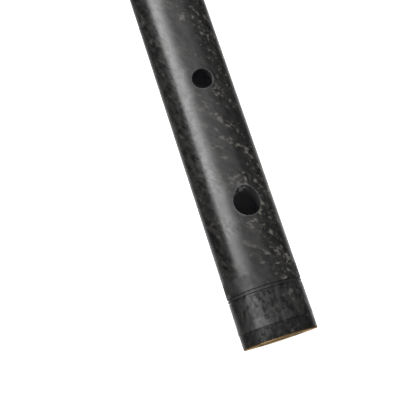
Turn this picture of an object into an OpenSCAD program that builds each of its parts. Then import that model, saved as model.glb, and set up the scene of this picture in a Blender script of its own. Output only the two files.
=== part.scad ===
// Low tin whistle in D: a carbon fibre tube whistle in two halves, with a tuning slide.
// The bore axis lies along X. The foot end is at x = 0, the mouth end at +X,
// and the finger holes and the window face +Z.

/* [Tube] */
// Outside diameter of the tube
tube_d = 25.4; // [22:0.1:29]
// Wall of the head tube, and of the body tube round its socket
head_wall = 2.4; // [2:0.1:2.8]
// Wall of the body tube just below the socket
body_wall = 3.2; // [2.9:0.1:4]
// Wall of the body tube at the foot
foot_wall = 3.7; // [3.4:0.1:5]
// Length of the body from its foot end to the joint
body_length = 385; // [370:1:420]
// Length of the head from the joint to the mouth end
head_length = 184.7; // [160:0.1:220]
// Gap between body and head with the slide pushed home
joint_gap = 0.3; // [0.2:0.05:1]

/* [Bands] */
// Wall of the sleeve and bands that are bonded over the tube's ends
band_wall = 1.1; // [0.8:0.05:1.4]
// How far the sleeve and bands lie below the tube's surface
band_drop = 0.05; // [0:0.01:0.15]
// Length of the foot sleeve with the end ring's rim
sleeve_length = 17; // [12:0.1:25]
// Length of the bands on each side of the joint
band_length = 16.2; // [12:0.1:25]
// Width of the bead between the two turned grooves
bead_width = 0.45; // [0.3:0.05:1]
// Width of each turned groove
groove_width = 0.3; // [0.2:0.05:0.6]
// Depth of each turned groove
groove_depth = 0.25; // [0.1:0.05:0.4]
// Length of the lip at the foot
lip_length = 4.8; // [3:0.1:8]
// How much the lip's radius shrinks towards the foot end
lip_drop = 0.05; // [0:0.05:0.6]
// Bevel on the lip's end, beside the rim
lip_bevel = 0.1; // [0.05:0.05:0.5]
// How much the sleeve flares out towards the lip
flare_rise = 0.1; // [0:0.02:0.3]
// Length of the flare
flare_length = 3; // [1:0.5:6]
// Bevel on the ends of the bands and on the tube's shoulders
edge_bevel = 0.15; // [0.05:0.05:0.3]

/* [End ring] */
// Thickness of the rim that covers the tube's end face
rim_thickness = 0.4; // [0.3:0.05:1.5]
// Depth of the ring inside the tube, with the rim
ring_depth = 7; // [4:0.5:12]
// Wall of the ring inside the tube
ring_wall = 0.9; // [0.6:0.05:1.4]
// Bevel round the rim's outer edge
rim_bevel = 0.1; // [0.05:0.01:0.14]

/* [Finger holes] */
// Distance of hole 1, nearest the mouth, from the foot end
hole_1_x = 259; // [250:0.5:270]
// Diameter of hole 1
hole_1_d = 8.2; // [6:0.1:10]
// Distance of hole 2 from the foot end
hole_2_x = 217; // [205:0.5:230]
// Diameter of hole 2
hole_2_d = 9.5; // [6:0.1:11]
// Distance of hole 3 from the foot end
hole_3_x = 178; // [165:0.5:190]
// Diameter of hole 3
hole_3_d = 8.5; // [6:0.1:10]
// Distance of hole 4 from the foot end
hole_4_x = 126; // [115:0.5:140]
// Diameter of hole 4
hole_4_d = 9; // [6:0.1:10]
// Distance of hole 5 from the foot end
hole_5_x = 89.1; // [78:0.1:100]
// Diameter of hole 5
hole_5_d = 7.1; // [5:0.1:10]
// Distance of hole 6, nearest the foot, from the foot end
hole_6_x = 45; // [38:0.1:60]
// Diameter of hole 6
hole_6_d = 9.1; // [6:0.1:11]
// Lean of hole 6 towards the foot on its way in, in degrees
hole_6_lean = 27; // [0:1:35]
// Turn of hole 6 round the tube from the line of the others, in degrees
hole_6_turn = 5; // [0:0.5:10]

/* [Tuning slide] */
// Length of the slide inside the body with the slide pushed home
slide_reach = 36; // [32:0.5:39]
// Length of the slide that is bonded into the head
slide_seat = 35; // [20:0.5:50]
// Wall of the slide
slide_wall = 1.6; // [1.3:0.05:1.8]
// Running clearance between slide and socket on the radius
slide_clearance = 0.05; // [0.02:0.01:0.09]
// Depth of the socket in the body tube
socket_depth = 40; // [39.5:0.5:60]
// Bevel on the slide's leading end
slide_bevel = 0.6; // [0.2:0.1:1]
// Distance of the upper O-ring from the slide's leading end
seal_upper = 15; // [12:0.5:17]
// Distance of the lower O-ring from the slide's leading end
seal_lower = 6; // [4:0.5:9]
// Depth of the O-ring grooves
seal_depth = 0.9; // [0.6:0.05:1]
// Width of the O-ring grooves
seal_width = 1.4; // [1.2:0.05:2]
// Clearance of each O-ring from its groove's floor and from the socket
seal_clearance = 0.03; // [0.01:0.01:0.08]

/* [Fipple] */
// Length of the windway, which is the fipple plug's length too
windway_length = 44; // [36:0.5:60]
// Width of the windway and window, across the bore
windway_width = 13; // [10:0.1:14]
// Height of the windway at the mouth end
windway_mouth_h = 1.4; // [1.2:0.05:2]
// Height of the windway where it opens into the window
windway_exit_h = 1.1; // [0.9:0.05:1.2]
// How far the windway's roof is cut into the tube's wall
windway_roof = 0.55; // [0.3:0.05:0.8]
// Bevel on the floor and roof where the windway ends
exit_bevel = 0.35; // [0.1:0.05:0.5]
// Length of the window from the windway to the blowing edge
window_length = 9; // [7:0.5:12]
// Slope of the ramp behind the blowing edge, in degrees
ramp_slope = 12; // [9:0.5:20]
// Thickness of the blowing edge
blade_thickness = 0.15; // [0.1:0.01:0.4]

/* [Beak] */
// Height of the beak's tip
tip_height = 13; // [11:0.1:15]
// Radius of the scoop under the beak
scoop_r = 48; // [35:1:70]
// How far past the tip the scoop is centred
scoop_shift = 2; // [0:0.5:6]
// Radius of the tip's corners, seen from above
corner_r = 5; // [2:0.5:8]
// Radius of the tip's upper edge
tip_edge_r = 0.9; // [0.3:0.1:1.2]

/* [Hidden] */

$fn = 120;
spare = 1;  // how far each cutter runs past what it cuts

tube_r = tube_d / 2;
head_bore_r = tube_r - head_wall;
body_bore_r = tube_r - body_wall;
foot_bore_r = tube_r - foot_wall;
band_r = tube_r - band_drop;
seat_r = tube_r - band_wall;
ring_seat_r = foot_bore_r + ring_wall;
rim_r = band_r - lip_drop;

joint_x = body_length;
head_x = joint_x + joint_gap;
mouth_x = head_x + head_length;

slide_end_x = joint_x - slide_reach;
slide_r = head_bore_r - slide_clearance;
slide_bore_r = slide_r - slide_wall;
seal_floor_r = slide_r - seal_depth;
cord_r = (head_bore_r - seal_floor_r) / 2 - seal_clearance;
seal_mid_r = (head_bore_r + seal_floor_r) / 2;

exit_x = mouth_x - windway_length;
edge_x = exit_x - window_length;
roof_r = head_bore_r + windway_roof;
windway_angle = 2 * asin(windway_width / 2 / head_bore_r);
blade_r = head_bore_r + blade_thickness;
ramp_length = (tube_r + spare - blade_r) / tan(ramp_slope);
tip_z = tube_r - tip_height;

straight_holes = [
  [hole_1_x, hole_1_d], [hole_2_x, hole_2_d], [hole_3_x, hole_3_d],
  [hole_4_x, hole_4_d], [hole_5_x, hole_5_d]
];

// A profile of [radius, x] points, turned round the bore axis
module turned(profile) {
  rotate([0, 90, 0]) rotate_extrude() polygon(profile);
}

// A profile of [radius, x] points, turned through the windway's width at the top of the tube
module windway_sector(profile) {
  rotate([0, 90, 0])
    rotate([0, 0, 180 - windway_angle / 2])
      rotate_extrude(angle = windway_angle) polygon(profile);
}

// A band bonded over a tube end: a bead between two grooves where it meets the tube's shoulder
function band_profile(shoulder_x, way, end_points) = concat(
  [
    [seat_r, shoulder_x],
    [band_r - groove_depth, shoulder_x],
    [band_r - groove_depth, shoulder_x - way * groove_width],
    [band_r, shoulder_x - way * (groove_width + edge_bevel)],
    [band_r, shoulder_x - way * (groove_width + edge_bevel + bead_width)],
    [band_r - groove_depth, shoulder_x - way * (groove_width + 2 * edge_bevel + bead_width)],
    [band_r - groove_depth, shoulder_x - way * (2 * groove_width + 2 * edge_bevel + bead_width)],
    [band_r, shoulder_x - way * (2 * groove_width + 3 * edge_bevel + bead_width)]
  ],
  end_points
);

// The end of a band at the joint, with bevelled edges
function joint_end(end_x, way) = [
  [band_r, end_x + way * edge_bevel],
  [band_r - edge_bevel, end_x],
  [seat_r, end_x]
];

module foot_sleeve() {
  color("#2b2d2f")
    turned(band_profile(sleeve_length, 1, [
      [band_r, lip_length + edge_bevel + flare_length],
      [band_r + flare_rise, lip_length + edge_bevel],
      [band_r - edge_bevel, lip_length],
      [band_r, lip_length - edge_bevel],
      [rim_r, rim_thickness + lip_bevel],
      [rim_r - lip_bevel, rim_thickness],
      [seat_r, rim_thickness]
    ]));
}

module socket_band() {
  color("#2b2d2f")
    turned(band_profile(joint_x - band_length, -1, joint_end(joint_x, -1)));
}

module head_band() {
  color("#2b2d2f")
    turned(band_profile(head_x + band_length, 1, joint_end(head_x, 1)));
}

module end_ring() {
  color("#b08a45")
    turned([
      [foot_bore_r, 0],
      [rim_r - rim_bevel, 0],
      [rim_r, rim_bevel],
      [rim_r, rim_thickness - rim_bevel],
      [rim_r - rim_bevel, rim_thickness],
      [ring_seat_r, rim_thickness],
      [ring_seat_r, ring_depth],
      [foot_bore_r, ring_depth]
    ]);
}

module straight_hole(x, d) {
  translate([x, 0, 0]) cylinder(d = d, h = tube_r + spare);
}

// Hole 6 leans about the point where its axis meets the tube's surface
module leaning_hole() {
  reach = head_bore_r;
  rotate([hole_6_turn, 0, 0])
    translate([hole_6_x, 0, tube_r])
      rotate([0, hole_6_lean, 0])
        translate([0, 0, -reach]) cylinder(d = hole_6_d, h = reach + tube_r);
}

module body_tube() {
  color("#26282a")
    difference() {
      turned([
        [ring_seat_r, rim_thickness],
        [seat_r, rim_thickness],
        [seat_r, sleeve_length],
        [band_r - groove_depth, sleeve_length],
        [tube_r, sleeve_length + edge_bevel],
        [tube_r, joint_x - band_length - edge_bevel],
        [band_r - groove_depth, joint_x - band_length],
        [seat_r, joint_x - band_length],
        [seat_r, joint_x],
        [head_bore_r, joint_x],
        [head_bore_r, joint_x - socket_depth],
        [body_bore_r, joint_x - socket_depth],
        [foot_bore_r, ring_depth],
        [ring_seat_r, ring_depth]
      ]);
      for (hole = straight_holes) straight_hole(hole[0], hole[1]);
      leaning_hole();
    }
}

module tuning_slide() {
  color("#b08a45")
    turned([
      [slide_bore_r, slide_end_x],
      [slide_r - slide_bevel, slide_end_x],
      [slide_r, slide_end_x + slide_bevel],
      [slide_r, slide_end_x + seal_lower - seal_width / 2],
      [seal_floor_r, slide_end_x + seal_lower - seal_width / 2],
      [seal_floor_r, slide_end_x + seal_lower + seal_width / 2],
      [slide_r, slide_end_x + seal_lower + seal_width / 2],
      [slide_r, slide_end_x + seal_upper - seal_width / 2],
      [seal_floor_r, slide_end_x + seal_upper - seal_width / 2],
      [seal_floor_r, slide_end_x + seal_upper + seal_width / 2],
      [slide_r, slide_end_x + seal_upper + seal_width / 2],
      [slide_r, head_x],
      [head_bore_r, head_x],
      [head_bore_r, head_x + slide_seat],
      [slide_bore_r, head_x + slide_seat]
    ]);
}

module o_ring(from_end) {
  color("#141414")
    translate([slide_end_x + from_end, 0, 0])
      rotate([0, 90, 0]) rotate_extrude() translate([seal_mid_r, 0]) circle(r = cord_r, $fn = 48);
}

module o_ring_lower() {
  o_ring(seal_lower);
}

module o_ring_upper() {
  o_ring(seal_upper);
}

// The window, the ramp behind the blowing edge and the windway's roof
module window_and_ramp() {
  windway_sector([
    [body_bore_r / 2, edge_x],
    [blade_r, edge_x],
    [blade_r + ramp_length * tan(ramp_slope), edge_x - ramp_length],
    [tube_r + spare, exit_x],
    [body_bore_r / 2, exit_x]
  ]);
  windway_sector([
    [body_bore_r / 2, exit_x - spare],
    [roof_r + exit_bevel + spare, exit_x - spare],
    [roof_r, exit_x + exit_bevel],
    [roof_r, mouth_x + spare],
    [body_bore_r / 2, mouth_x + spare]
  ]);
}

// What the scoop and the rounded tip take off the mouth end
module beak_cut() {
  translate([mouth_x + scoop_shift, 0, tip_z - scoop_r])
    rotate([90, 0, 0]) cylinder(r = scoop_r, h = tube_d + 2 * spare, center = true);
  for (side = [-1, 1])
    translate([mouth_x - corner_r, side * (tube_r - corner_r), 0])
      linear_extrude(height = tube_d + 2 * spare, center = true)
        difference() {
          translate([0, side < 0 ? -corner_r - spare : 0]) square(corner_r + spare);
          circle(r = corner_r);
        }
  translate([mouth_x - tip_edge_r, 0, tube_r - tip_edge_r])
    rotate([90, 0, 0])
      linear_extrude(height = tube_d + 2 * spare, center = true)
        difference() {
          square(tip_edge_r + spare);
          circle(r = tip_edge_r);
        }
}

module head_tube() {
  color("#26282a")
    difference() {
      turned([
        [head_bore_r, head_x],
        [seat_r, head_x],
        [seat_r, head_x + band_length],
        [band_r - groove_depth, head_x + band_length],
        [tube_r, head_x + band_length + edge_bevel],
        [tube_r, mouth_x],
        [head_bore_r, mouth_x]
      ]);
      window_and_ramp();
      beak_cut();
    }
}

module fipple_plug() {
  color("#1b1b1c")
    difference() {
      turned([[0, exit_x], [head_bore_r, exit_x], [head_bore_r, mouth_x], [0, mouth_x]]);
      windway_sector([
        [roof_r - windway_exit_h - exit_bevel, exit_x - spare],
        [roof_r - windway_exit_h - exit_bevel, exit_x],
        [roof_r - windway_exit_h, exit_x + exit_bevel],
        [roof_r - windway_mouth_h, mouth_x],
        [roof_r - windway_mouth_h, mouth_x + spare],
        [tube_r, mouth_x + spare],
        [tube_r, exit_x - spare]
      ]);
      beak_cut();
    }
}

body_tube();
foot_sleeve();
end_ring();
socket_band();
o_ring_lower();
o_ring_upper();
tuning_slide();
head_band();
head_tube();
fipple_plug();
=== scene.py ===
from math import asin, atan2, cos, pi, radians, sin, sqrt, tan

import bmesh
import bpy
from mathutils import Matrix, Vector


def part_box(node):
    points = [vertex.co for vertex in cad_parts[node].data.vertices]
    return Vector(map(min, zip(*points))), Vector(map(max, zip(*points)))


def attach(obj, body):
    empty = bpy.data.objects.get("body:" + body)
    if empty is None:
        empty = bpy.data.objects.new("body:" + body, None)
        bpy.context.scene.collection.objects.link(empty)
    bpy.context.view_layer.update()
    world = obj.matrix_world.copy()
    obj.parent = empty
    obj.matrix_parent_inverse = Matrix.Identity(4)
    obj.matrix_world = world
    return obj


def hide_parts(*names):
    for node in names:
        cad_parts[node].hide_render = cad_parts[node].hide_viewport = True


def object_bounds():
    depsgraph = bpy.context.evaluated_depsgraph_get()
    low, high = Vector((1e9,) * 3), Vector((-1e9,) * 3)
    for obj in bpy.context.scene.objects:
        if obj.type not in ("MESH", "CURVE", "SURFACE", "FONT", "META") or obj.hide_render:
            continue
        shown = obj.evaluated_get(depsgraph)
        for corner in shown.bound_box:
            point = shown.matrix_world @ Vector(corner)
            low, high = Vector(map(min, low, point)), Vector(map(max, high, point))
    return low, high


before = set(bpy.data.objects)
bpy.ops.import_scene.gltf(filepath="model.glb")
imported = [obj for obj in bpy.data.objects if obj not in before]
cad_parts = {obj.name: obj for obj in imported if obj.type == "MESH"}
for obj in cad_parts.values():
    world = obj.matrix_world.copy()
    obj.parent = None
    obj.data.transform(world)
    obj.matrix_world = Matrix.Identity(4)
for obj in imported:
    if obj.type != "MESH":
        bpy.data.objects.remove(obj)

mm = 0.001
cadLow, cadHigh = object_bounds()
print("low whistle: frame loaded")


# places that the frame gives: foot end at x = 0, mouth end at +X, finger holes and window facing +Z
def nodeEnds(node):
    low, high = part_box(node)
    return low.x, high.x


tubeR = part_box("body_tube")[1].z
jointX = nodeEnds("body_tube")[1]
headX, mouthX = nodeEnds("head_tube")
sleeveEnds = nodeEnds("foot_sleeve")
socketEnds = nodeEnds("socket_band")
headBandEnds = nodeEnds("head_band")
slideEnds = nodeEnds("tuning_slide")
plugEnds = nodeEnds("fipple_plug")
ringEnds = nodeEnds("end_ring")

# what several pieces share
shared = {
    "columns": 96,              # facets round the tube
    "seatR": 11.6 * mm,         # under the sleeve and the bands
    "headBoreR": 10.3 * mm,     # head bore and socket
    "footBoreR": 9.0 * mm,      # bore at the foot, inside the end ring
    "ringSeatR": 9.9 * mm,      # under the end ring's inner part
    "rimThickness": 0.4 * mm,   # of the end ring, over the tube's end face
    "bandDrop": 0.05 * mm,      # bands lie this far below the tube's surface
    "grooveDepth": 0.25 * mm,
    "grooveWidth": 0.3 * mm,
    "beadWidth": 0.45 * mm,
    "edgeBevel": 0.15 * mm,
    "grooveFillet": 0.05 * mm,
    "beadFillet": 0.09 * mm,
    "cornerFillet": 0.08 * mm,
    "sharpAngle": radians(38),  # edges that turn by more than this stay sharp
    "keepWeight": 80,           # how far broad faces rule the shading of what joins them
}
bandR = tubeR - shared["bandDrop"]


# mesh helpers
def roundedOutline(corners):
    # corners are (x, r, fillet radius), in order round a closed outline
    most = 0.45             # share of a side that one fillet may take
    largeRadius = 0.3 * mm  # from here on an arc gets one more step
    points = []
    count = len(corners)
    for index, (x, r, fillet) in enumerate(corners):
        here = Vector((x, r))
        if fillet <= 0:
            points.append(here)
            continue
        before = Vector(corners[index - 1][:2]) - here
        after = Vector(corners[(index + 1) % count][:2]) - here
        turn = before.angle(after)
        reach = min(fillet / tan(turn / 2), before.length * most, after.length * most)
        radius = reach * tan(turn / 2)
        start = here + before.normalized() * reach
        end = here + after.normalized() * reach
        middle = here + (before.normalized() + after.normalized()).normalized() * (radius / sin(turn / 2))
        steps = 4 if radius > largeRadius else 3
        for step in range(steps + 1):
            share = step / steps
            chord = start.lerp(end, share) - middle
            points.append(middle + chord.normalized() * radius)
    return points


def newPiece(name, vertices, faces):
    mesh = bpy.data.meshes.new(name)
    mesh.from_pydata([tuple(v) for v in vertices], [], faces)
    mesh.update()
    piece = bpy.data.objects.new(name, mesh)
    bpy.context.scene.collection.objects.link(piece)
    return piece


def facedOutward(piece):
    # without loose points, and with every face turned outward
    work = bmesh.new()
    work.from_mesh(piece.data)
    loose = [vertex for vertex in work.verts if not vertex.link_faces]
    bmesh.ops.delete(work, geom=loose, context="VERTS")
    bmesh.ops.recalc_face_normals(work, faces=work.faces)
    work.to_mesh(piece.data)
    work.free()
    return piece


def smoothed(piece):
    facedOutward(piece)
    piece.data.shade_smooth()
    piece.data.set_sharp_from_angle(angle=shared["sharpAngle"])
    weighted = piece.modifiers.new("faceWeights", "WEIGHTED_NORMAL")
    weighted.keep_sharp = True
    weighted.weight = shared["keepWeight"]
    return piece


def ringPoint(x, r, angle):
    # angle runs from +Z towards +Y
    return Vector((x, r * sin(angle), r * cos(angle)))


def ringPoints(x, r, columns):
    return [ringPoint(x, r, 2 * pi * column / columns) for column in range(columns)]


def circlePoint(x, y, radius, turn):
    return x + radius * cos(turn), y + radius * sin(turn)


def wallFaces(rings, columns, closed):
    # between neighbouring rings, and where it is closed, from the last back to the first
    faces = []
    for row in range(rings if closed else rings - 1):
        nextRow = (row + 1) % rings
        for column in range(columns):
            nextColumn = (column + 1) % columns
            faces.append((row * columns + column, row * columns + nextColumn,
                          nextRow * columns + nextColumn, nextRow * columns + column))
    return faces


def turnedPiece(name, corners, columns=shared["columns"]):
    outline = roundedOutline(corners)
    vertices = [point for p in outline for point in ringPoints(p.x, p.y, columns)]
    return smoothed(newPiece(name, vertices, wallFaces(len(outline), columns, True)))


# body tube: one grid of rings, with a round patch at each finger hole
bodyTube = {
    "ringDepth": 7.0 * mm,
    "boreRAtSocket": 9.5 * mm,
    "socketX": 345.0 * mm,
    "boreFrom": 0.2 * mm,       # the bore's plain wall starts this far above the end ring
    "boreTo": 1.0 * mm,         # and ends this far below the socket
    "boreZoneR": 10.6 * mm,     # what lies nearer the axis than this counts as bore
    "innerFillet": 0.2 * mm,
    "rimRounding": 0.2 * mm,    # of a hole's rims, outside and in the bore
    "patchColumns": 10,         # half width of a patch, in columns
    "patchRows": 8,             # half length of a patch, in rows
    "patchMargin": 2.6 * mm,    # from a hole's side to its patch's end
    "patchRings": (0.0, 0.05, 0.14, 0.3, 0.55),     # share of the way from the hole's rim to the border
    "rimCut": 0.4,              # how much of the cut edge's tone, partly a painted highlight, the rim's outermost ring has
    # round a rim: share of the way, cut edge with its painted highlight, drilled wall
    "rimArc": ((0.25, 1.0, 0.0), (0.5, 0.9, 0.0), (0.75, 0.3, 0.5), (1.0, 0.0, 1.0)),
    # down a hole's wall: share of the way, share of the fraying and its painted light left
    "wallRows": ((0.25, 1.0), (0.55, 0.8), (0.9, 0.0)),
    # each hole's distance from the foot, diameter, lean, turn round the tube, and fraying with painted
    # light on its wall
    "holes": [
        (259.0 * mm, 8.2 * mm, 0, 0, 0.2),
        (217.0 * mm, 9.5 * mm, 0, 0, 0.3),
        (178.0 * mm, 8.5 * mm, 0, 0, 0.2),
        (126.0 * mm, 9.0 * mm, 0, 0, 0.2),
        (89.1 * mm, 7.1 * mm, 0, 0, 0.15),
        (45.0 * mm, 9.1 * mm, radians(27), radians(5), 1.0),
    ],
    "frayedLitAngles": (radians(-35), radians(115)),   # from the head side towards +Y, on a hole's wall: where lighter patches, partly frayed fibre and partly painted light, show
}
zoneNames = ("cutEdge", "drilledWall", "bore", "frayedAndLit")    # what the material tells apart on the tube


def outsideRadius(_):
    return tubeR


def boreRadius(x):
    share = (x - bodyTube["ringDepth"]) / (bodyTube["socketX"] - bodyTube["ringDepth"])
    return shared["footBoreR"] + share * (bodyTube["boreRAtSocket"] - shared["footBoreR"])


def holeAxis(hole):
    # a point on the tube's surface and the way in
    x, _, lean, turn, _ = hole
    surface = Vector((x, 0, tubeR))
    inward = Vector((-sin(lean), 0, -cos(lean)))
    spin = Matrix.Rotation(turn, 3, "X")
    return spin @ surface, spin @ inward


def meetSurface(start, way, radiusAt):
    # where a line that starts near the tube's surface meets a turned surface, by Newton's steps
    along = 0.0
    for _ in range(12):     # more than it needs
        point = start + way * along
        radius = sqrt(point.y ** 2 + point.z ** 2)
        miss = radius - radiusAt(point.x)
        slope = (point.y * way.y + point.z * way.z) / radius
        along -= miss / slope
    return start + way * along


def patchCentres(radiusAt):
    # of each hole's patch on one wall: the middle and half the length
    centres = []
    for hole in bodyTube["holes"]:
        start, inward = holeAxis(hole)
        half = hole[1] / 2 / abs(inward.z) + bodyTube["patchMargin"]
        centres.append((meetSurface(start, inward, radiusAt).x, half))
    return centres


def patchBorder(rings):
    # the border's vertices in order, each with its angle round the hole
    acrossHalf = bodyTube["patchColumns"]
    alongHalf = bodyTube["patchRows"]
    path = [(-alongHalf, column) for column in range(-acrossHalf, acrossHalf)]
    path += [(row, acrossHalf) for row in range(-alongHalf, alongHalf)]
    path += [(alongHalf, column) for column in range(acrossHalf, -acrossHalf, -1)]
    path += [(row, -acrossHalf) for row in range(alongHalf, -alongHalf, -1)]
    count = shared["columns"]
    return [(rings[row + alongHalf][column % count], atan2(column / acrossHalf, row / alongHalf))
            for row, column in path]


def frayedLitShare(angle):
    begin, end = bodyTube["frayedLitAngles"]
    middle = (begin + end) / 2
    half = (end - begin) / 2
    return max(0.0, 1 - ((angle - middle) / half) ** 2)


def patchSpokes(hole, border, radiusAt, wayOut):
    # from each (point, angle) of the border over the hole's rim: points, each with its share in the zones
    size = bodyTube
    rounding = size["rimRounding"]
    _, diameter, _, _, frayingAndLight = hole
    start, inward = holeAxis(hole)
    side = Vector((0, 1, 0))
    side = (side - inward * side.dot(inward)).normalized()
    along = inward.cross(side)
    inBore = 1.0 if wayOut < 0 else 0.0
    spokes = []
    for point, angle in border:
        spoke = along * cos(angle) + side * sin(angle)
        outer = meetSurface(start + spoke * (diameter / 2 + rounding), inward, radiusAt)
        corner = meetSurface(start + spoke * (diameter / 2), inward, radiusAt)
        onWall = corner + inward * rounding * wayOut
        outerAngle = atan2(outer.y, outer.z)
        borderAngle = atan2(point.y, point.z)
        onPatch = []
        for share in size["patchRings"]:
            x = outer.x + (point.x - outer.x) * share
            turn = outerAngle + (borderAngle - outerAngle) * share
            cut = size["rimCut"] if share == 0 else 0.0
            onPatch.append((ringPoint(x, radiusAt(x), turn), (cut, 0.0, inBore, 0.0)))
        frayedAndLit = frayingAndLight * frayedLitShare(angle) * (1 - inBore)
        onRim = [(outer.lerp(corner, t).lerp(corner.lerp(onWall, t), t), (cut, drilled, 0.0, frayedAndLit * t))
                 for t, cut, drilled in size["rimArc"]]
        spokes.append([*reversed(onPatch), *onRim])
    return spokes


def socketOutline():
    # from the outside at the head shoulder, round the tube's upper end and down into the bore
    size = bodyTube
    fillet = shared["cornerFillet"]
    shoulderX = socketEnds[0]
    return roundedOutline([
        (sleeveEnds[1], tubeR, 0),
        (shoulderX - shared["edgeBevel"], tubeR, fillet),
        (shoulderX, bandR - shared["grooveDepth"], fillet),
        (shoulderX, shared["seatR"], 0),
        (jointX, shared["seatR"], fillet),
        (jointX, shared["headBoreR"], size["innerFillet"]),
        (size["socketX"], shared["headBoreR"], 0),
        (size["socketX"], size["boreRAtSocket"], size["innerFillet"]),
        (size["ringDepth"], shared["footBoreR"], 0),
    ])[1:-1]


def footOutline():
    # from the bore, round the tube's lower end and up to the outside at the foot shoulder
    size = bodyTube
    fillet = shared["cornerFillet"]
    shoulderX = sleeveEnds[1]
    return roundedOutline([
        (size["socketX"], size["boreRAtSocket"], 0),
        (size["ringDepth"], shared["footBoreR"], 0),
        (size["ringDepth"], shared["ringSeatR"], 0),
        (shared["rimThickness"], shared["ringSeatR"], 0),
        (shared["rimThickness"], shared["seatR"], 0),
        (shoulderX, shared["seatR"], 0),
        (shoulderX, bandR - shared["grooveDepth"], fillet),
        (shoulderX + shared["edgeBevel"], tubeR, fillet),
        (socketEnds[0], tubeR, 0),
    ])[1:-1]


def addVertex(grid, point, zone):
    grid["vertices"].append(point)
    grid["zones"].append(zone)
    return len(grid["vertices"]) - 1


def addRing(grid, x, r):
    zone = (0.0, 0.0, 1.0 if r < bodyTube["boreZoneR"] else 0.0, 0.0)
    return [addVertex(grid, point, zone) for point in ringPoints(x, r, shared["columns"])]


def wallRings(grid, xFrom, xTo, radiusAt):
    # rings of one long wall: plain stretches, and the even rows of each hole's patch
    rows = bodyTube["patchRows"]
    centres = patchCentres(radiusAt)
    spots = [(xFrom, None)]
    for index in sorted(range(len(centres)), key=lambda i: centres[i][0]):
        centre, half = centres[index]
        for row in range(-rows, rows + 1):
            spots.append((centre + half * row / rows, index))
    spots.append((xTo, None))
    return [(addRing(grid, x, radiusAt(x)), owner) for x, owner in spots]


def joinRows(grid, first, second, skipPatch=False):
    # quads between two closed rows of as many vertices
    count = len(first)
    half = bodyTube["patchColumns"]
    for k in range(count):
        if skipPatch and (k < half or k >= count - half):
            continue
        after = (k + 1) % count
        grid["faces"].append((first[k], first[after], second[after], second[k]))


def holePatch(grid, hole, rings, radiusAt, wayOut):
    # fills between the patch's border and the hole's rim, and returns the rim's last row, on the wall
    border = patchBorder(rings)
    points = [(grid["vertices"][vertex], angle) for vertex, angle in border]
    spokes = []
    for (vertex, _), made in zip(border, patchSpokes(hole, points, radiusAt, wayOut)):
        spokes.append([vertex, *[addVertex(grid, *values) for values in made]])
    for spoke, following in zip(spokes, spokes[1:] + spokes[:1]):
        for step in range(len(spoke) - 1):
            grid["faces"].append((spoke[step], following[step], following[step + 1], spoke[step + 1]))
    return [spoke[-1] for spoke in spokes]


def drillWall(grid, outerRim, innerRim):
    # the hole's wall, between its two rims
    vertices = grid["vertices"]
    zones = grid["zones"]
    rows = [outerRim]
    for share, left in bodyTube["wallRows"]:
        rows.append([addVertex(grid, vertices[outer].lerp(vertices[inner], share),
                               (0.0, 1.0, 0.0, zones[outer][3] * left))
                     for outer, inner in zip(outerRim, innerRim)])
    rows.append(innerRim)
    for upper, lower in zip(rows, rows[1:]):
        joinRows(grid, upper, lower)


def tubeWithHoles(name):
    size = bodyTube
    grid = {"vertices": [], "faces": [], "zones": []}   # a vertex's zone is its share in each of zoneNames
    clear = 2 * shared["edgeBevel"]
    boreFrom = size["ringDepth"] + size["boreFrom"]
    boreTo = size["socketX"] - size["boreTo"]
    outside = wallRings(grid, sleeveEnds[1] + clear, socketEnds[0] - clear, outsideRadius)
    bore = wallRings(grid, boreFrom, boreTo, boreRadius)[::-1]
    socket = [(addRing(grid, p.x, p.y), None) for p in socketOutline()]
    foot = [(addRing(grid, p.x, p.y), None) for p in footOutline()]
    loop = outside + socket + bore + foot
    for index, (ring, owner) in enumerate(loop):
        nextRing, nextOwner = loop[(index + 1) % len(loop)]
        joinRows(grid, ring, nextRing, owner is not None and owner == nextOwner)
    for index, hole in enumerate(size["holes"]):
        outerRings = [ring for ring, owner in outside if owner == index]
        innerRings = [ring for ring, owner in bore if owner == index][::-1]
        outerRim = holePatch(grid, hole, outerRings, outsideRadius, 1)
        innerRim = holePatch(grid, hole, innerRings, boreRadius, -1)
        drillWall(grid, outerRim, innerRim)
    piece = newPiece(name, grid["vertices"], grid["faces"])
    for index, label in enumerate(zoneNames):
        attribute = piece.data.attributes.new(label, "FLOAT", "POINT")
        attribute.data.foreach_set("value", [zone[index] for zone in grid["zones"]])
    return smoothed(piece)


bodyPiece = tubeWithHoles("bodyTube")
print("low whistle: body tube made")


# sleeve and bands: a bead between two turned grooves where each meets the tube's shoulder
def bandCorners(shoulderX, way, endCorners):
    size = shared
    grooveR = bandR - size["grooveDepth"]
    corners = [(shoulderX, size["seatR"], 0)]
    x = shoulderX
    for step in range(2):
        corners.append((x, grooveR, size["grooveFillet"]))
        x -= way * size["grooveWidth"]
        corners.append((x, grooveR, size["grooveFillet"]))
        x -= way * size["edgeBevel"]
        corners.append((x, bandR, size["beadFillet"]))
        if step == 0:
            x -= way * size["beadWidth"]
            corners.append((x, bandR, size["beadFillet"]))
            x -= way * size["edgeBevel"]
    return corners + endCorners


def jointBand(name, shoulderX, way, endX):
    bevel = shared["edgeBevel"]
    return turnedPiece(name, bandCorners(shoulderX, way, [
        (endX + way * bevel, bandR, shared["cornerFillet"]),
        (endX, bandR - bevel, shared["cornerFillet"]),
        (endX, shared["seatR"], 0),
    ]))


footSleeve = {
    "lipX": 4.8 * mm,           # where the lip starts
    "lipStep": 0.15 * mm,       # small groove in front of the lip
    "lipFillet": 0.06 * mm,
    "lipDrop": 0.05 * mm,       # the lip's radius shrinks by this towards the foot end
    "lipBevel": 0.1 * mm,       # on the lip's end, beside the ring's rim
    "flareRise": 0.1 * mm,      # the sleeve flares out towards the lip
    "flareLength": 3.0 * mm,
    "flareFillet": 1.2 * mm,
}


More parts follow.
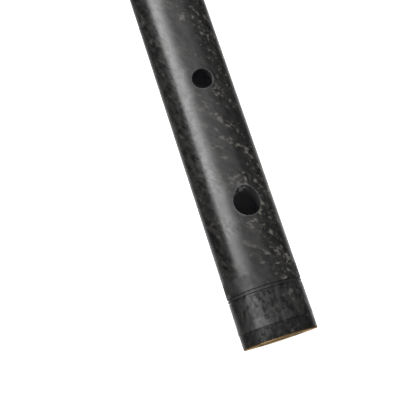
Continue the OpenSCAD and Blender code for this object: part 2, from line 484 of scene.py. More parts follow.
def makeFootSleeve(name):
    size = footSleeve
    bevel = shared["edgeBevel"]
    rimR = bandR - size["lipDrop"]
    endX = sleeveEnds[0]
    return turnedPiece(name, bandCorners(sleeveEnds[1], 1, [
        (size["lipX"] + bevel + size["flareLength"], bandR, size["flareFillet"]),
        (size["lipX"] + bevel, bandR + size["flareRise"], shared["beadFillet"]),
        (size["lipX"], bandR - size["lipStep"], size["lipFillet"]),
        (size["lipX"] - bevel, bandR, size["lipFillet"]),
        (endX + size["lipBevel"], rimR, shared["cornerFillet"]),
        (endX, rimR - size["lipBevel"], shared["grooveFillet"]),
        (endX, shared["seatR"], 0),
    ]))


endRing = {
    "rimR": 12.6 * mm,
    "rimRounding": 0.12 * mm,
    "innerRounding": 0.25 * mm,
    "depthRounding": 0.1 * mm,
}


def makeEndRing(name):
    size = endRing
    low, high = ringEnds
    rimX = low + shared["rimThickness"]
    boreR = shared["footBoreR"]
    return turnedPiece(name, [
        (low, boreR, size["innerRounding"]),
        (low, size["rimR"], size["rimRounding"]),
        (rimX, size["rimR"], size["rimRounding"]),
        (rimX, shared["ringSeatR"], 0),
        (high, shared["ringSeatR"], 0),
        (high, boreR, size["depthRounding"]),
    ])


sleevePiece = makeFootSleeve("footSleeve")
socketBandPiece = jointBand("socketBand", socketEnds[0], -1, socketEnds[1])
headBandPiece = jointBand("headBand", headBandEnds[1], 1, headBandEnds[0])
ringPiece = makeEndRing("endRing")
print("low whistle: sleeve, bands and end ring made")


# tuning slide and its two seals
tuningSlide = {
    "outerR": 10.25 * mm,
    "boreR": 8.65 * mm,
    "leadingBevel": 0.6 * mm,
    "sealPlaces": (6.0 * mm, 15.0 * mm),    # from the leading end
    "grooveFloorR": 9.35 * mm,
    "grooveWidth": 1.4 * mm,
    "endFillet": 0.15 * mm,
    "stepFillet": 0.2 * mm,
    "grooveFillets": (0.08 * mm, 0.12 * mm),    # at a seal groove's mouth and floor
    "cordR": 0.445 * mm,
    "cordFacets": 24,
}


def makeTuningSlide(name):
    size = tuningSlide
    low, high = slideEnds
    fillet = size["endFillet"]
    atMouth, atFloor = size["grooveFillets"]
    corners = [
        (low, size["boreR"], fillet),
        (low, size["outerR"] - size["leadingBevel"], fillet),
        (low + size["leadingBevel"], size["outerR"], fillet),
    ]
    for place in size["sealPlaces"]:
        for side in (-1, 1):
            x = low + place + side * size["grooveWidth"] / 2
            wall = [(x, size["outerR"], atMouth), (x, size["grooveFloorR"], atFloor)]
            corners += wall if side < 0 else wall[::-1]
    corners += [
        (headX, size["outerR"], 0),
        (headX, shared["headBoreR"], 0),
        (high, shared["headBoreR"], size["stepFillet"]),
        (high, size["boreR"], fillet),
    ]
    return turnedPiece(name, corners)


def makeSeal(name, node):
    size = tuningSlide
    low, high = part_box(node)
    middleX = (low.x + high.x) / 2
    middleR = (shared["headBoreR"] + size["grooveFloorR"]) / 2
    turns = [2 * pi * k / size["cordFacets"] for k in range(size["cordFacets"])]
    return turnedPiece(name, [(*circlePoint(middleX, middleR, size["cordR"], turn), 0) for turn in turns])


slidePiece = makeTuningSlide("tuningSlide")
lowerSealPiece = makeSeal("sealLower", "o_ring_lower")
upperSealPiece = makeSeal("sealUpper", "o_ring_upper")
print("low whistle: tuning slide and seals made")


# head: tube and plug are turned, then cut for the windway, the window, the ramp and the beak
fipple = {
    "columns": 128,
    "windowLength": 9.0 * mm,
    "windwayWidth": 13.0 * mm,
    "roofDepth": 0.55 * mm,         # roof of the windway, cut into the tube's wall
    "exitHeight": 1.1 * mm,
    "mouthHeight": 1.4 * mm,
    "exitBevel": 0.35 * mm,
    "rampSlope": radians(12),
    "bladeThickness": 0.15 * mm,
    "tipHeight": 13.0 * mm,
    "scoopR": 48.0 * mm,
    "scoopShift": 2.0 * mm,
    "cornerR": 5.0 * mm,            # the tip's corners, seen from above
    "tipEdgeR": 0.9 * mm,           # the tip's upper edge
    "spare": 1.0 * mm,              # how far a cutter runs past what it cuts
    "sectorSteps": 48,
    "scoopSteps": 300,
    "cornerSteps": 12,
    "edgeRounding": 0.12 * mm,
    "roundedAngle": radians(32),    # edges that turn by more than this are rounded
    "weldDistance": 0.002 * mm,
    "flatAngle": radians(0.2),
    "bladeClear": 1.2 * mm,         # nothing is rounded this near the blowing edge
    "bandClear": 1.0 * mm,          # nor this near the head band
    "jointFillets": (0.15 * mm, 0.1 * mm),  # at the tube's lower end, inside and outside
}
exitX = plugEnds[0]
edgeX = exitX - fipple["windowLength"]
roofR = shared["headBoreR"] + fipple["roofDepth"]
sectorHalf = asin(fipple["windwayWidth"] / 2 / shared["headBoreR"])


def solidFromRings(name, rings):
    # closed solid through a row of matching outlines
    count = len(rings[0])
    vertices = [point for ring in rings for point in ring]
    ends = [tuple(range(count)), tuple(range(len(vertices) - count, len(vertices)))]
    return facedOutward(newPiece(name, vertices, ends + wallFaces(len(rings), count, False)))


def sectorCutter(outline):
    steps = fipple["sectorSteps"]
    turns = [sectorHalf * (2 * k / steps - 1) for k in range(steps + 1)]
    return solidFromRings("cutter", [[ringPoint(x, r, turn) for x, r in outline] for turn in turns])


def cutAway(piece, cutter):
    modifier = piece.modifiers.new("cut", "BOOLEAN")
    modifier.operation = "DIFFERENCE"
    modifier.solver = "EXACT"
    modifier.object = cutter
    bpy.context.view_layer.update()
    graph = bpy.context.evaluated_depsgraph_get()
    result = bpy.data.meshes.new_from_object(piece.evaluated_get(graph))
    piece.modifiers.remove(modifier)
    old = piece.data
    name = old.name
    piece.data = result
    bpy.data.meshes.remove(old)
    result.name = name
    bpy.data.objects.remove(cutter)
    return piece


def roundedEdgeCutter(radius, place, half):
    # what rounding a corner at (mouthX, tubeR) takes off, put in space by place, from -half to half
    spare = fipple["spare"]
    steps = fipple["cornerSteps"]
    x = mouthX - radius
    r = tubeR - radius
    outline = [circlePoint(x, r, radius, pi / 2 * k / steps) for k in range(steps + 1)]
    outline += [(x, tubeR + spare), (mouthX + spare, tubeR + spare), (mouthX + spare, r)]
    return solidFromRings("cutter", [[place(a, b, side) for a, b in outline] for side in (-half, half)])


def cutBeak(piece):
    size = fipple
    centreX = mouthX + size["scoopShift"]
    centreZ = tubeR - size["tipHeight"] - size["scoopR"]
    half = tubeR + size["spare"]
    turns = [2 * pi * k / size["scoopSteps"] for k in range(size["scoopSteps"])]
    outline = [circlePoint(centreX, centreZ, size["scoopR"], turn) for turn in turns]
    rings = [[Vector((x, y, z)) for x, z in outline] for y in (-half, half)]
    cutAway(piece, solidFromRings("cutter", rings))
    for side in (-1, 1):
        cutAway(piece, roundedEdgeCutter(size["cornerR"], lambda a, b, z: Vector((a, side * b, z)), half))
    return cutAway(piece, roundedEdgeCutter(size["tipEdgeR"], lambda a, b, y: Vector((a, y, b)), half))


def softenEdges(piece, keepSharp):
    # rounds the cut edges, except where keepSharp says so
    size = fipple
    work = bmesh.new()
    work.from_mesh(piece.data)
    bmesh.ops.remove_doubles(work, verts=work.verts, dist=size["weldDistance"])
    bmesh.ops.dissolve_degenerate(work, dist=size["weldDistance"] / 2, edges=work.edges)
    bmesh.ops.dissolve_limit(work, angle_limit=size["flatAngle"], verts=work.verts, edges=work.edges)
    edges = [edge for edge in work.edges
             if len(edge.link_faces) == 2 and edge.calc_face_angle() > size["roundedAngle"]
             and not keepSharp((edge.verts[0].co + edge.verts[1].co) / 2)]
    bmesh.ops.bevel(work, geom=edges, offset=size["edgeRounding"], offset_type="OFFSET",
                    segments=2, profile=0.5, affect="EDGES", clamp_overlap=True)
    work.to_mesh(piece.data)
    work.free()
    return piece


def makeHeadTube(name):
    size = fipple
    shoulderX = headBandEnds[1]
    within, without = size["jointFillets"]
    piece = turnedPiece(name, [
        (headX, shared["headBoreR"], within),
        (headX, shared["seatR"], without),
        (shoulderX, shared["seatR"], 0),
        (shoulderX, bandR - shared["grooveDepth"], shared["grooveFillet"]),
        (shoulderX + shared["edgeBevel"], tubeR, shared["cornerFillet"]),
        (mouthX, tubeR, 0),
        (mouthX, shared["headBoreR"], 0),
    ], size["columns"])
    inside = shared["headBoreR"] / 2
    bladeR = shared["headBoreR"] + size["bladeThickness"]
    beyond = tubeR + size["spare"]
    rampStart = edgeX - (beyond - bladeR) / tan(size["rampSlope"])
    cutAway(piece, sectorCutter([
        (edgeX, inside), (edgeX, bladeR), (rampStart, beyond), (exitX, beyond), (exitX, inside)]))
    spare = size["spare"]
    cutAway(piece, sectorCutter([
        (exitX - spare, inside), (exitX - spare, roofR + size["exitBevel"] + spare),
        (exitX + size["exitBevel"], roofR), (mouthX + spare, roofR), (mouthX + spare, inside)]))
    cutBeak(piece)
    clearX = shoulderX + size["bandClear"]
    softenEdges(piece, lambda p: abs(p.x - edgeX) < size["bladeClear"] or p.x < clearX)
    return smoothed(piece)


def makeFipplePlug(name):
    size = fipple
    piece = solidFromRings(name, [
        ringPoints(x, shared["headBoreR"], size["columns"]) for x in (exitX, mouthX)])
    spare = size["spare"]
    exitFloor = roofR - size["exitHeight"]
    mouthFloor = roofR - size["mouthHeight"]
    cutAway(piece, sectorCutter([
        (exitX - spare, exitFloor - size["exitBevel"]), (exitX, exitFloor - size["exitBevel"]),
        (exitX + size["exitBevel"], exitFloor), (mouthX, mouthFloor), (mouthX + spare, mouthFloor),
        (mouthX + spare, tubeR), (exitX - spare, tubeR)]))
    cutBeak(piece)
    softenEdges(piece, lambda p: False)
    return smoothed(piece)


headPiece = makeHeadTube("headTube")
plugPiece = makeFipplePlug("fipplePlug")
print("low whistle: head tube and fipple plug made")


# materials
def setInputs(node, values):
    # a socket is linked, and anything else is set
    for key, value in values.items():
        if isinstance(value, bpy.types.NodeSocket):
            node.id_data.links.new(value, node.inputs[key])
        else:
            node.inputs[key].default_value = value


def placeNode(tree, kind, inputs=None, **settings):
    made = tree.nodes.new(kind)
    for key, value in settings.items():
        setattr(made, key, value)
    setInputs(made, inputs or {})
    return made


def newGroup(name, inputs, outputs, outputKind="NodeSocketFloat"):
    group = bpy.data.node_groups.new(name, "ShaderNodeTree")
    for labels, way, kind in ((inputs, "INPUT", "NodeSocketFloat"), (outputs, "OUTPUT", outputKind)):
        for label in labels:
            group.interface.new_socket(name=label, in_out=way, socket_type=kind)
    return group, group.nodes.new("NodeGroupInput").outputs, group.nodes.new("NodeGroupOutput")


def groupNode(tree, group, inputs):
    return placeNode(tree, "ShaderNodeGroup", inputs, node_tree=group).outputs


def mathNode(tree, operation, first, second=0.0, clamp=False):
    return placeNode(tree, "ShaderNodeMath", {0: first, 1: second},
                     operation=operation, use_clamp=clamp).outputs[0]


def plus(tree, first, second):
    return mathNode(tree, "ADD", first, second)


def minus(tree, first, second):
    return mathNode(tree, "SUBTRACT", first, second)


def times(tree, first, second):
    return mathNode(tree, "MULTIPLY", first, second)


def larger(tree, first, second):
    return mathNode(tree, "MAXIMUM", first, second)


def vectorNode(tree, operation, first, second=(0, 0, 0)):
    return placeNode(tree, "ShaderNodeVectorMath", {0: first, 1: second}, operation=operation).outputs


def mixColours(tree, share, below, above):
    # 6 and 7 are the Mix node's two colours, and output 2 is the mixed one
    return placeNode(tree, "ShaderNodeMix", {0: share, 6: below, 7: above}, data_type="RGBA").outputs[2]


def smoothRange(tree, value, fromMin, fromMax, toMin=0.0, toMax=1.0, kind="SMOOTHSTEP"):
    return placeNode(tree, "ShaderNodeMapRange", {
        "Value": value, "From Min": fromMin, "From Max": fromMax, "To Min": toMin, "To Max": toMax,
    }, interpolation_type=kind).outputs[0]


def evenRange(tree, share, low, high):
    return smoothRange(tree, share, 0, 1, low, high, "LINEAR")


def noiseNode(tree, vector, scale=1.0, detail=2.0, roughness=0.5, distortion=0.0):
    return placeNode(tree, "ShaderNodeTexNoise", {
        "Vector": vector, "Scale": scale, "Detail": detail,
        "Roughness": roughness, "Distortion": distortion}).outputs[0]


def bumpNode(tree, height, strength, distance):
    return placeNode(tree, "ShaderNodeBump", {
        "Height": height, "Strength": strength, "Distance": distance}).outputs[0]


def placeInMetres(tree):
    return placeNode(tree, "ShaderNodeTexCoord").outputs["Object"]


def placeInMm(tree):
    perMetre = (1 / mm, 1 / mm, 1 / mm)
    return vectorNode(tree, "MULTIPLY", placeInMetres(tree), perMetre)["Vector"]


def axesOf(tree, vector):
    return placeNode(tree, "ShaderNodeSeparateXYZ", {0: vector}).outputs


def buildHelixCoordinates():
    # coordinates in mm that turn along the tube, so that a pattern in them runs round it as a helix
    group, given, out = newGroup(
        "helixCoordinates", ["Turn per mm", "Along", "Around", "Offset"], ["Vector"], "NodeSocketVector")
    inMm = placeInMm(group)
    turned = placeNode(group, "ShaderNodeVectorRotate", {
        "Vector": inMm, "Angle": times(group, axesOf(group, inMm)[0], given["Turn per mm"]),
    }, rotation_type="X_AXIS").outputs[0]
    parts = axesOf(group, turned)
    joined = placeNode(group, "ShaderNodeCombineXYZ", {
        0: plus(group, times(group, parts[0], given["Along"]), given["Offset"]),
        1: times(group, parts[1], given["Around"]),
        2: times(group, parts[2], given["Around"]),
    }).outputs[0]
    setInputs(out, {"Vector": joined})
    return group


carbonPattern = {
    "streakTwist": 0.075,               # radians per mm, of the streaks that gather the flecks
    "streakStretch": (0.07, 0.34),      # of the noise's coordinates, along the tube and round it
    "streakRange": (0.40, 0.62),        # where the noise turns from gap to streak
    "fleckTwist": 0.012,
    "fleckStretch": (0.95, 0.85),
    "fleckLayers": ((0.58, 0.28, 1.0), (1.10, 0.16, 0.6)),     # noise scale, pull of the streaks, strength
    "fleckLevel": 0.60,
    "fleckEdge": 0.17,
    "glintSideAcross": (-0.50 * tubeR, 0.45 * tubeR),    # painted light: flecks stand partly for glints of the fibre, so fewer show on the +Y side, where the lamps are
    "glintSideShare": 0.20,
    "cloudStretch": (0.28, 0.50),
    "patchStretch": (0.55, 0.80),
    "patchRange": (0.38, 0.62),
    "fineTwist": 0.05,
    "fineStretch": (2.2, 3.0),
    "fleckHeight": 0.5,
}


def buildCarbonFleckGlints():
    # light flecks of fibre, partly painted glints that fade towards the +Y side, gathered in slanting
    # streaks, and cloudier mottles under them
    size = carbonPattern
    group, given, out = newGroup(
        "carbonFleckGlints", ["Fleck Size", "Cover", "Streaks", "Twist", "Offset"],
        ["FleckGlints", "Clouds", "Patches", "Height"])

    def helix(twist, stretch):
        along, around = stretch
        return groupNode(group, helixCoordinates, {
            "Turn per mm": twist, "Along": along, "Around": around, "Offset": given["Offset"]})["Vector"]

    streak = noiseNode(group, helix(size["streakTwist"], size["streakStretch"]), roughness=0.6)
    inStreak = minus(group, smoothRange(group, streak, *size["streakRange"]), 0.5)
    gathered = times(group, inStreak, given["Streaks"])
    lift = plus(group, minus(group, given["Cover"], 0.5), gathered)
    across = axesOf(group, placeInMetres(group))[1]
    # painted light: fewer fleck glints on the +Y side, towards the lamps
    glintSide = smoothRange(group, across, *size["glintSideAcross"], 1.0, size["glintSideShare"])
    masks = []
    for scale, pull, strength in size["fleckLayers"]:
        perFleck = mathNode(group, "DIVIDE", scale, given["Fleck Size"])
        spots = noiseNode(group, helix(size["fleckTwist"], size["fleckStretch"]), perFleck,
                          detail=1.1, distortion=0.15)
        edge = minus(group, size["fleckLevel"], times(group, lift, pull))
        mask = smoothRange(group, spots, edge, plus(group, edge, size["fleckEdge"]))
        masks.append(times(group, mask, strength))
    fleckGlints = times(group, mathNode(group, "MAXIMUM", *masks, clamp=True), glintSide)
    clouds = noiseNode(group, helix(given["Twist"], size["cloudStretch"]),
                       detail=2.4, roughness=0.55, distortion=0.2)
    patches = noiseNode(group, helix(given["Twist"], size["patchStretch"]), detail=1.5, distortion=0.2)
    patches = smoothRange(group, patches, *size["patchRange"])
    fine = noiseNode(group, helix(size["fineTwist"], size["fineStretch"]), detail=3.0, roughness=0.6)
    height = plus(group, times(group, fleckGlints, size["fleckHeight"]), fine)
    setInputs(out, {"FleckGlints": fleckGlints, "Clouds": clouds, "Patches": patches, "Height": height})
    return group


def buildHandling():
    # faint rubs and smudges from hands, as one mask
    rubRange = (0.42, 0.68)     # where the noise turns from clean to rubbed
    group, given, out = newGroup("handlingMarks", ["Size", "Amount"], ["Mask"])
    perMm = mathNode(group, "DIVIDE", 1.0, given["Size"])
    broad = noiseNode(group, placeInMm(group), perMm, detail=4.0, roughness=0.6, distortion=0.4)
    rubbed = smoothRange(group, broad, *rubRange)
    setInputs(out, {"Mask": mathNode(group, "MULTIPLY", rubbed, given["Amount"], clamp=True)})
    return group


def fromAxis(tree):
    acrossOnly = vectorNode(tree, "MULTIPLY", placeInMetres(tree), (0, 1, 1))["Vector"]
    return vectorNode(tree, "LENGTH", acrossOnly)["Value"]


def buildTurnedLines():
    # fine rings left by turning and polishing, with their pitch in mm
    group, given, out = newGroup("turnedLines", ["Pitch"], ["Height"])
    along = plus(group, axesOf(group, placeInMetres(group))[0], fromAxis(group))
    rings = mathNode(group, "DIVIDE", times(group, along, 1 / mm), given["Pitch"])
    lines = placeNode(group, "ShaderNodeTexNoise", {"W": rings, "Scale": 1.0, "Detail": 3.0},
                      noise_dimensions="1D").outputs[0]
    setInputs(out, {"Height": lines})
    return group


helixCoordinates = buildHelixCoordinates()
carbonFleckGlints = buildCarbonFleckGlints()
handlingMarks = buildHandling()
turnedLines = buildTurnedLines()


def newMaterial(name):
    material = bpy.data.materials.new(name)
    material.use_nodes = True
    shader = next(n for n in material.node_tree.nodes if n.type == "BSDF_PRINCIPLED")
    return material, material.node_tree, shader


carbonTube = {
    "resin": (0.0022, 0.0022, 0.0022, 1),       # the dark between the clouds
    "cloud": (0.0118, 0.0114, 0.0108, 1),
    # flecks of fibre, partly painted glints
    "fleckGlint": (0.084, 0.079, 0.069, 1),
    # the cut edge's lighter grey: partly cut fibre, partly a painted highlight round a hole's rim
    "cut": (0.075, 0.075, 0.075, 1),
    "drilled": (0.0105, 0.0105, 0.0115, 1),
    # lighter patches on one side of a hole's wall: partly frayed fibre ends, partly painted light
    "frayedAndLit": (0.11, 0.11, 0.115, 1),
    # painted light: the bore's pale blue-grey stands in for light on its wall, lighter than the black
    # carbon
    "bore": (0.26, 0.26, 0.29, 1),
    "boreMouth": (43.0 * mm, 53.0 * mm),    # painted shade: the bore is darker from the foot to here
    "mouthShare": 0.25,
    "cloudRange": (0.33, 0.67),
    "chipRange": (0.40, 0.62),
    "leastChip": 0.25,          # of the cut edge's tone and painted highlight, where it isn't chipped
    "raggedScale": 0.85,
    "raggedRange": (0.44, 0.60),
    "frayedLitRange": (0.05, 0.7),
    "fleckSize": 1.0,
    "cover": 0.50,
    "streaks": 0.8,
    "twist": 0.03,              # radians per mm, of the mottles
    "offset": 0.0,
    "rubs": 0.8,
    "rubSize": 14.0,
    "roughness": (0.21, 0.32),
    "wallRoughness": 0.4,       # added on a hole's wall
    "boreRoughness": 0.2,       # and in the bore
    "turnedRoughness": 0.27,    # and where the tube was turned beside a band
    "turnedHeight": 1.5,
    "turnedLength": 5.6 * mm,
    "turnedFade": 1.2 * mm,
    "turnedStart": (0.6 * mm, 2.2 * mm, 0.4),   # from here to here it grows, from this share
    "turnedBead": 1.1 * mm,
    "gloss": 0.5,
    "coat": None,               # share of clear resin left on the surface, in patches
    "coatRoughness": 0.22,
    "lip": 0.3,                 # share of the mottles and coat that is left on the foot's lip
    "lipFade": 0.1 * mm,
    "bump": (0.35, 0.008 * mm), # strength and height
}
carbonBand = dict(
    carbonTube,
    cloud=(0.0135, 0.013, 0.0125, 1),
    fleckGlint=(0.05, 0.049, 0.046, 1),
    fleckSize=1.3,
    streaks=0.35,
    twist=-0.008,
    offset=31.0,
    roughness=(0.18, 0.42),
    gloss=0.38,
    coat=(0.0, 0.5),
    coatRoughness=0.27,
)


def turnedZone(tree, x, look):
    # turning left the grooves and bead of each band duller, and a short way of the tube beside them
    turned = 0.0
    growFrom, growTo, least = look["turnedStart"]
    end = look["turnedLength"]
    for start, way in ((sleeveEnds[1], 1), (socketEnds[0], -1), (headBandEnds[1], 1)):
        past = times(tree, minus(tree, x, start), way)
        zone = times(tree, mathNode(tree, "GREATER_THAN", past, -look["turnedBead"]),
                     smoothRange(tree, past, end - look["turnedFade"], end, 1.0, 0.0))
        onTube = smoothRange(tree, past, growFrom, growTo, least, 1.0)
        onBead = mathNode(tree, "LESS_THAN", past, 0.0)
        zone = times(tree, zone, larger(tree, onTube, onBead))
        turned = larger(tree, zone, turned)
    return turned


def carbonColour(tree, look, pattern, zone, x, beyondLip):
    clouds = smoothRange(tree, pattern["Clouds"], *look["cloudRange"])
    colour = mixColours(tree, times(tree, clouds, beyondLip), look["resin"], look["cloud"])
    # light flecks of fibre, partly painted glints
    colour = mixColours(tree, pattern["FleckGlints"], colour, look["fleckGlint"])
    # painted light and shade: the bore's pale tone, with less of it near the foot's open end as painted
    # shade
    paintedBoreShade = smoothRange(tree, x, *look["boreMouth"], look["mouthShare"], 1.0)
    colour = mixColours(tree, times(tree, zone["bore"], paintedBoreShade), colour, look["bore"])
    colour = mixColours(tree, zone["drilledWall"], colour, look["drilled"])
    # lighter ring at a hole's rim: partly cut fibre, partly a painted highlight
    chipsAndHighlight = smoothRange(tree, pattern["Height"], *look["chipRange"], look["leastChip"], 1.0)
    colour = mixColours(tree, times(tree, zone["cutEdge"], chipsAndHighlight), colour, look["cut"])
    # ragged lighter patches on one side of a hole's wall, partly frayed fibre and partly painted light
    frayedLitNoise = noiseNode(tree, placeInMm(tree), look["raggedScale"], detail=2.5, roughness=0.6)
    raggedLitPatches = times(tree, smoothRange(tree, frayedLitNoise, *look["raggedRange"]),
                   smoothRange(tree, zone["frayedAndLit"], *look["frayedLitRange"]))
    return mixColours(tree, raggedLitPatches, colour, look["frayedAndLit"])


def carbonMaterial(name, look):
    material, tree, shader = newMaterial(name)
    pattern = groupNode(tree, carbonFleckGlints, {
        "Fleck Size": look["fleckSize"], "Cover": look["cover"], "Streaks": look["streaks"],
        "Twist": look["twist"], "Offset": look["offset"]})
    rubs = groupNode(tree, handlingMarks, {"Size": look["rubSize"], "Amount": look["rubs"]})["Mask"]
    zone = {label: placeNode(tree, "ShaderNodeAttribute", attribute_name=label).outputs["Fac"]
            for label in zoneNames}
    x = axesOf(tree, placeInMetres(tree))[0]
    turned = turnedZone(tree, x, look)
    # the lip of the foot was turned down, through the mottled layer
    lipX = footSleeve["lipX"]
    beyondLip = smoothRange(tree, x, lipX - look["lipFade"], lipX + look["lipFade"], look["lip"], 1.0)
    dullness = larger(tree, rubs, pattern["Patches"])
    rubbed = plus(tree, evenRange(tree, dullness, *look["roughness"]),
                  times(tree, turned, look["turnedRoughness"]))
    hidden = larger(tree, times(tree, zone["drilledWall"], look["wallRoughness"]),
                    times(tree, zone["bore"], look["boreRoughness"]))
    relief = minus(tree, pattern["Height"], times(tree, turned, look["turnedHeight"]))
    setInputs(shader, {
        "Base Color": carbonColour(tree, look, pattern, zone, x, beyondLip),
        "Roughness": mathNode(tree, "ADD", rubbed, hidden, clamp=True),
        "Specular IOR Level": look["gloss"],
        "Normal": bumpNode(tree, relief, *look["bump"]),
    })
    if look["coat"]:
        coat = times(tree, evenRange(tree, pattern["Patches"], *look["coat"]), beyondLip)
        setInputs(shader, {"Coat Weight": coat, "Coat Roughness": look["coatRoughness"]})
    return material


brass = {
    "colours": ((0.64, 0.46, 0.21, 1), (0.38, 0.25, 0.105, 1)),     # clean and rubbed
    "tarnish": (0.07, 0.045, 0.025, 1),     # inside, where breath has darkened it
    "tarnishFade": 0.35 * mm,
    "rimFade": (0.25 * mm, 0.5 * mm),       # from the foot's end, where the tarnish starts
    "handled": (0.19, 0.12, 0.055, 1),      # outside, where hands have browned it
    "handledR": 12.4 * mm,
    "handledFade": 0.12 * mm,
    "atGrazing": (0.52, 0.34, 0.15, 1),
    "metal": 0.8,
    "roughness": (0.30, 0.46),
    "rubSize": 3.5,
    "bump": (0.3, 0.012 * mm),
}


def rubbedMaterial(name, look, pitch=0):
    # with turned lines where there is a pitch, in mm
    material, tree, shader = newMaterial(name)
    rubs = groupNode(tree, handlingMarks, {"Size": look["rubSize"], "Amount": 1.0})["Mask"]
    setInputs(shader, {
        "Base Color": mixColours(tree, rubs, *look["colours"]),
        "Roughness": evenRange(tree, rubs, *look["roughness"]),
    })
    if pitch:
        lines = groupNode(tree, turnedLines, {"Pitch": pitch})["Height"]
        setInputs(shader, {"Normal": bumpNode(tree, lines, *look["bump"])})
    return material, tree, shader


def brassMaterial(name, pitch, tarnishR):
    material, tree, shader = rubbedMaterial(name, brass, pitch)
    radius = fromAxis(tree)
    fromFoot = minus(tree, axesOf(tree, placeInMetres(tree))[0], ringEnds[0])
    tarnished = times(tree, smoothRange(tree, radius, tarnishR, tarnishR + brass["tarnishFade"], 1.0, 0.0),
                      smoothRange(tree, fromFoot, *brass["rimFade"]))
    handled = smoothRange(tree, radius, brass["handledR"], brass["handledR"] + brass["handledFade"])
    colour = shader.inputs["Base Color"].links[0].from_socket
    colour = mixColours(tree, tarnished, colour, brass["tarnish"])
    colour = mixColours(tree, handled, colour, brass["handled"])
    setInputs(shader, {
        "Base Color": colour, "Metallic": brass["metal"], "Specular Tint": brass["atGrazing"]})
    return material


sealRubber = {
    "colours": ((0.011, 0.011, 0.012, 1), (0.028, 0.028, 0.029, 1)),
    "roughness": (0.42, 0.6),
    "rubSize": 1.6,
}
plugAcetal = {
    "colours": ((0.010, 0.010, 0.0105, 1), (0.020, 0.020, 0.021, 1)),
    "roughness": (0.34, 0.48),
    "rubSize": 5.0,
    "bump": (0.3, 0.01 * mm),
}

tubeMaterial = carbonMaterial("carbonTube", carbonTube)
bandMaterial = carbonMaterial("carbonBand", carbonBand)
ringMaterial = brassMaterial("agedBrassRing", pitch=0.1, tarnishR=9.1 * mm)
slideMaterial = brassMaterial("polishedBrassSlide", pitch=0.14, tarnishR=8.7 * mm)
rubberMaterial = rubbedMaterial("sealRubber", sealRubber)[0]
plugMaterial = rubbedMaterial("blackAcetal", plugAcetal, pitch=0.18)[0]

for piece, node, body, material, slotName in (
    (bodyPiece, "body_tube", "body", tubeMaterial, "carbon_tube"),
    (sleevePiece, "foot_sleeve", "body", bandMaterial, "carbon_band"),
    (ringPiece, "end_ring", "body", ringMaterial, "end_ring_brass"),
    (socketBandPiece, "socket_band", "body", bandMaterial, "carbon_band"),
    (lowerSealPiece, "o_ring_lower", "seals", rubberMaterial, "seal_rubber"),
    (upperSealPiece, "o_ring_upper", "seals", rubberMaterial, "seal_rubber"),
    (slidePiece, "tuning_slide", "head", slideMaterial, "slide_brass"),
    (headBandPiece, "head_band", "head", bandMaterial, "carbon_band"),
    (headPiece, "head_tube", "head", tubeMaterial, "carbon_tube"),
    (plugPiece, "fipple_plug", "head", plugMaterial, "plug_acetal"),
):
    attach(piece, body)
    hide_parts(node)
    piece.data.materials.append(material)
print("low whistle: materials made, pieces ride on their bodies")


# studio: camera, floor and lights
studio = {
    "cameraPlace": (-7.7 * mm, 64.0 * mm, 256.3 * mm),
    "lookAt": (51.9 * mm, 11.2 * mm, 0.3 * mm),
    "cameraLean": radians(18.06),   # how far the tube leans in the view
    "lens": 71.8,
    "sensor": 36,
    "clipStart": 10.0 * mm,
    "floorSize": 6.0,
    "floorTone": 0.92,
    "floorGlow": 0.55,              # keeps the floor white round the tube
    "roomTone": 1.0,                # what the floor and the camera see of the room
    "roomInGloss": (0.05, 0.30),    # what the surfaces reflect of it, low down and high up
    "glossHeights": (-0.25, 0.45),  # where low down ends and high up starts: 1 is straight up
    "roomBelow": 0.8,               # what they reflect of the white floor
    "belowHeights": (-0.93, -0.60),
    "belowLean": radians(14),       # how far that leans away from the lamps' side
    "boxAway": 0.55,                # the soft boxes' distance from the tube's axis
    "boxEndX": 0.80,
}
# long soft boxes: name, from and to in degrees from straight up towards +Y, where it starts along the tube,
# and its brightness against a white sheet's
softBoxes = (
    ("keyBox", 47.0, 72.8, 85 * mm, 8.6),
    ("fadeBox", 36.0, 47.0, 85 * mm, 5.2),
    ("edgeBox", 24.6, 36.0, 85 * mm, 2.3),
    ("topBox", -21.0, 24.6, 110 * mm, 1.2),
    ("sideBox", -39.0, -21.0, 110 * mm, 0.55),
)
alongTube = Vector((1, 0, 0))


def aimedObject(name, data, place, across, up, forward):
    # a camera or lamp looks along its own -Z
    made = bpy.data.objects.new(name, data)
    turned = Matrix((across, up, -forward)).transposed()
    made.matrix_world = Matrix.Translation(place) @ turned.to_4x4()
    bpy.context.scene.collection.objects.link(made)
    return made


def makeCamera():
    place = Vector(studio["cameraPlace"])
    forward = (Vector(studio["lookAt"]) - place).normalized()
    up = Matrix.Rotation(studio["cameraLean"], 3, forward) @ (alongTube - forward * alongTube.dot(forward))
    up.normalize()
    data = bpy.data.cameras.new("camera")
    data.lens = studio["lens"]
    data.sensor_width = studio["sensor"]
    data.clip_start = studio["clipStart"]
    bpy.context.scene.camera = aimedObject("camera", data, place, forward.cross(up), up, forward)


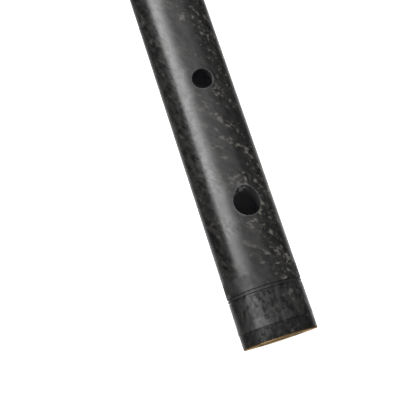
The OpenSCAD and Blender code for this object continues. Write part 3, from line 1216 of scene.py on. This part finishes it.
def makeFloor():
    half = studio["floorSize"] / 2
    corners = ((-half, -half), (half, -half), (half, half), (-half, half))
    floor = newPiece("floor", [Vector((x, y, cadLow.z)) for x, y in corners], [(0, 1, 2, 3)])
    material, _, shader = newMaterial("paleFloor")
    tone = studio["floorTone"]
    setInputs(shader, {
        "Base Color": (tone, tone, tone, 1),
        "Roughness": 1.0,
        "Specular IOR Level": 0.0,
        "Emission Color": (1, 1, 1, 1),
        "Emission Strength": studio["floorGlow"],
    })
    floor.data.materials.append(material)
    floor.visible_glossy = False


def makeRoom():
    world = bpy.data.worlds.new("paleRoom")
    bpy.context.scene.world = world
    world.use_nodes = True
    tree = world.node_tree
    tree.nodes.clear()
    rays = placeNode(tree, "ShaderNodeLightPath")
    towards = placeNode(tree, "ShaderNodeTexCoord").outputs["Generated"]
    room = smoothRange(tree, axesOf(tree, towards)[2], *studio["glossHeights"], *studio["roomInGloss"])
    lean = studio["belowLean"]
    upwards = vectorNode(tree, "DOT_PRODUCT", towards, (0, sin(lean), cos(lean)))["Value"]
    below = smoothRange(tree, upwards, *studio["belowHeights"], studio["roomBelow"], 0.0)
    # 2 and 3 are the Mix node's two numbers
    tone = placeNode(tree, "ShaderNodeMix", {
        0: rays.outputs["Is Glossy Ray"], 2: studio["roomTone"], 3: plus(tree, room, below)})
    light = placeNode(tree, "ShaderNodeBackground", {"Color": (1, 1, 1, 1), "Strength": tone.outputs[0]})
    placeNode(tree, "ShaderNodeOutputWorld", {"Surface": light.outputs[0]})


def makeSoftBox(name, begin, end, startX, glow):
    away = studio["boxAway"]
    endX = studio["boxEndX"]
    turn = radians((begin + end) / 2)
    data = bpy.data.lights.new(name, "AREA")
    data.shape = "RECTANGLE"
    data.size = endX - startX
    data.size_y = 2 * away * tan(radians(end - begin) / 2)
    data.energy = glow * pi * data.size * data.size_y
    facing = Vector((0, -sin(turn), -cos(turn)))
    place = ringPoint((startX + endX) / 2, away, turn)
    light = aimedObject(name, data, place, alongTube, alongTube.cross(facing), facing)
    light.visible_camera = False


makeCamera()
makeFloor()
makeRoom()
for box in softBoxes:
    makeSoftBox(*box)
bpy.context.scene.view_settings.view_transform = "Standard"
print("low whistle: studio ready")
